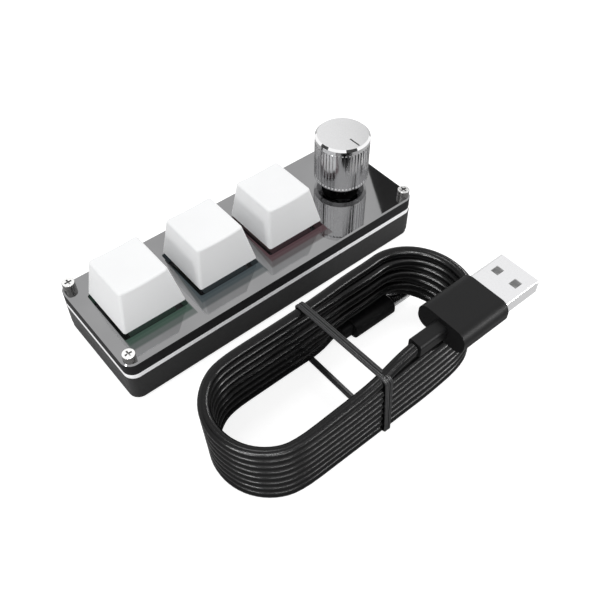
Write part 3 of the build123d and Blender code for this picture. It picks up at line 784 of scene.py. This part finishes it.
# the nodes that each key has, without the number at the end of their names
KEY_NODE_MATERIALS = {
    "switch_bottom": "housing",
    "switch_stem": "stem",
    "switch_spring": "spring",
    "switch_pins": "contact",
    "keycap": "cap",
}


def dress(node, material):
    """Gives a CAD node its material."""
    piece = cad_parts[node]
    if not piece.material_slots:
        piece.data.materials.append(material)
    for place in piece.material_slots:
        place.material = material


def dress_nodes():
    for node, material in NODE_MATERIALS.items():
        dress(node, MATERIALS[material])
    for number, (glow, tint) in enumerate(zip(KEY_GLOWS, KEY_PAINTED_GLOWS), start=1):
        for part, material in KEY_NODE_MATERIALS.items():
            dress(f"{part}_{number}", MATERIALS[material])
        dress(f"key_lamp_{number}", make_lens_material(f"key_glow_{number}", glow))
        dress(f"switch_top_{number}", make_painted_glow_housing_material(f"painted_glow_housing_{number}", tint))


# ---------------------------------------------------------------- the cord, in millimetres

CORD_D = 3.0
# in metres
# Blender's counts for how round the cord is, and how finely it follows its curve
CORD_ROUND_STEPS = 5
CORD_RUN_STEPS = 4
TURNS = 7
STEP = 3.0
COIL_RISE = TURNS * STEP
LOWEST = CORD_D / 2
BEND_RADIUS = 14.05
BEND_POINTS = 8
# each bend's middle at the lowest turn, and how far it has moved at the top of the stack
LEFT_BEND = ((-29.4, -48.6), (-1.5, -1.1))
RIGHT_BEND = ((19.2, -48.0), (-2.6, -1.3))
# from the small plug to the coil
LEAD_C = [(4.6, -33.7, 2.7), (3.2, -33.7, 2.7), (-2.8, -34.8, 1.6)]
# from the coil to the big plug
LEAD_A = [
    (-21.5, -63.5, 22.8),
    (-12.5, -63.5, 23.5),
    (-7.5, -63.4, 24.8),
    (-2.5, -63.3, 26.9),
    (1.4, -63.3, 27.65),
]
# places along the far wall; the small plug's lead joins the lowest turn before the last two
FAR_WALL = (14.0, 6.0, -2.0, -12.0, -21.0)
LOWEST_FAR_WALL = FAR_WALL[-2:]
# places along the near wall, and how much of the rise to the next turn is done there
NEAR_WALL = ((-20.0, 0.0), (-12.0, 0.15), (-4.0, 0.5), (3.0, 0.85), (10.0, 1.0))
# places along the far wall, and how fully the turns are lifted there over the small plug
PLUG_BUMP = (
    (-6.0, 0.0), (-2.0, 0.35), (4.0, 1.0), (23.5, 1.0), (28.0, 0.75), (31.9, 0.2), (33.5, 0.0),
)
# the lift of the first turn over the plug, how much less each next one has, and the sideways step
PLUG_LIFT = 2.45
PLUG_LIFT_LESS = 0.35
PLUG_ASIDE = 0.7


def bend_centre(side, z):
    """The middle of a bend at a height; the stack leans a little."""
    (x, y), (move_x, move_y) = side
    share = (z - LOWEST) / COIL_RISE
    return x + move_x * share, y + move_y * share


def over_plug(x):
    """1 where the turns cross the small plug that lies under them, 0 away from it."""
    if x <= PLUG_BUMP[0][0] or x >= PLUG_BUMP[-1][0]:
        return 0.0
    for (x0, bump0), (x1, bump1) in zip(PLUG_BUMP, PLUG_BUMP[1:]):
        if x <= x1:
            return bump0 + (bump1 - bump0) * (x - x0) / (x1 - x0)


def raised(x, y, z, turn):
    """A point of the far wall or right end, lifted over the small plug."""
    if turn < 1:
        return x, y, z
    bump = over_plug(x)
    aside = PLUG_ASIDE if turn % 2 else -PLUG_ASIDE
    lift = PLUG_LIFT - PLUG_LIFT_LESS * (turn - 1)
    return x, y + aside * bump, z + lift * bump


def bend(side, first_angle, z, rise, turn):
    """The control points of half a circle; the spline through their runs has BEND_RADIUS."""
    step = math.pi / BEND_POINTS
    reach = BEND_RADIUS / math.cos(step / 2)
    points = []
    for i in range(BEND_POINTS):
        angle = first_angle + step * (i + 0.5)
        height = z + rise * (i + 0.5) / BEND_POINTS
        x0, y0 = bend_centre(side, height)
        x, y = x0 + reach * math.cos(angle), y0 + reach * math.sin(angle)
        points.append(raised(x, y, height, turn) if math.sin(angle) > 0 else (x, y, height))
    return points


def coil_points():
    """Seven and a half turns, from the small plug's lead up to where the big plug's begins."""
    points = []
    for turn in range(TURNS + 1):
        z = LOWEST + STEP * turn
        middle_y = bend_centre(LEFT_BEND, z)[1]
        wall = FAR_WALL if turn else LOWEST_FAR_WALL
        points += [raised(x, middle_y + BEND_RADIUS, z, turn) for x in wall]
        points += bend(LEFT_BEND, math.pi / 2, z, 0.0, 0)
        if turn < TURNS:
            lift = STEP * turn / (TURNS - 1)
            points += [(x, middle_y - BEND_RADIUS, z + lift * part) for x, part in NEAR_WALL]
            points += bend(RIGHT_BEND, 1.5 * math.pi, z + lift, STEP - lift, turn + 1)
    return points


def make_spline(name, points, diameter, material):
    """A round cord on one smooth curve."""
    curve = bpy.data.curves.new(name, "CURVE")
    curve.dimensions = "3D"
    curve.bevel_depth = diameter / 2 * MM
    curve.bevel_resolution = CORD_ROUND_STEPS
    curve.resolution_u = CORD_RUN_STEPS
    curve.use_fill_caps = True
    spline = curve.splines.new("NURBS")
    spline.points.add(len(points) - 1)
    for place, point in zip(spline.points, points):
        place.co = (*(Vector(point) * MM), 1.0)
    spline.order_u = 3
    spline.use_endpoint_u = True
    curve.materials.append(material)
    return link_object(name, curve)


def make_lead():
    """The whole cord as one curve; returns it."""
    points = LEAD_C + coil_points() + LEAD_A
    lead = make_spline("lead", points, CORD_D, MATERIALS["cord"])
    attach(lead, "case")
    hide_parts("cable_coil", "cable_lead_a", "cable_lead_c")
    return lead


# ---------------------------------------------------------------- the strap, in millimetres

# corners of its middle line: top at the far and the near side, desk at the near and the far side
TIE_CORNERS = [
    (-8.6, -33.85, 24.45),
    (-8.35, -65.5, 25.95),
    (-5.4, -64.75, 0.4),
    (-5.8, -32.75, 0.4),
]
TIE_ROUND = 1.6
TIE_ROUND_STEPS = 6
# half of its section, as place across and height: ridges beside the V groove in its middle
TIE_HALF = [
    (0.12, 0.0), (0.20, 0.24), (0.38, 0.30), (0.52, 0.24), (0.60, 0.12), (0.68, 0.24),
    (0.84, 0.30), (0.98, 0.22), (1.12, 0.0), (1.12, -0.2), (1.0, -0.3), (0.12, -0.2),
]
TIE_GROOVE = (0.0, -0.06)
TIE_UNDERSIDE = (0.0, -0.42)
# below this height, where it runs under the coil, its width is this share
TIE_NARROW_BELOW = 3.0
TIE_NARROW = 0.8


def tie_line():
    """The middle line of the strap with its corners rounded."""
    corners = [Vector(c) for c in TIE_CORNERS]
    line = []
    for i, corner in enumerate(corners):
        before = (corners[i - 1] - corner).normalized() * TIE_ROUND
        after = (corners[(i + 1) % len(corners)] - corner).normalized() * TIE_ROUND
        for step in range(TIE_ROUND_STEPS + 1):
            t = step / TIE_ROUND_STEPS
            line.append(corner + before * (1 - t) ** 2 + after * t ** 2)
    return line


def tie_section():
    """The outline of the strap's section, once round."""
    left = [(-w, h) for w, h in reversed(TIE_HALF)]
    return left + [TIE_GROOVE] + TIE_HALF + [TIE_UNDERSIDE]


def tie_ring(section, point, run, middle):
    """The section across the line at one of its points, in metres; run is the line's direction."""
    wide = Vector((1.0, 0.0, 0.0))
    wide = (wide - run * wide.dot(run)).normalized()
    out = wide.cross(run).normalized()
    if out.dot(point - middle) < 0:
        out.negate()
    narrow = TIE_NARROW if point.z < TIE_NARROW_BELOW else 1.0
    return [(point + wide * w * narrow + out * h) * MM for w, h in section]


def make_tie():
    """The ribbed rubber strap round the coil, one closed loop."""
    line, section = tie_line(), tie_section()
    middle = sum(line, Vector()) / len(line)
    around, count = len(line), len(section)
    verts, faces = [], []
    for i, point in enumerate(line):
        after = (i + 1) % around
        verts += tie_ring(section, point, (line[after] - line[i - 1]).normalized(), middle)
        for j in range(count):
            k = (j + 1) % count
            faces.append((i * count + j, i * count + k, after * count + k, after * count + j))
    strap = make_mesh("tie_strap", verts, faces, MATERIALS["tie"])
    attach(strap, "case")
    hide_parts("cable_tie")
    return strap


# ---------------------------------------------------------------- the scene

bpy.context.scene.view_settings.view_transform = "Standard"
make_camera()
make_world()
make_table()
dark_card = card_material()
make_panel_card(dark_card)
make_knob_cards(dark_card)
make_lamps()
dress_nodes()
strap = make_tie()
lead = make_lead()
make_strips([lead, strap], [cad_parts["usb_a_grip"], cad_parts["usb_c_grip"]])
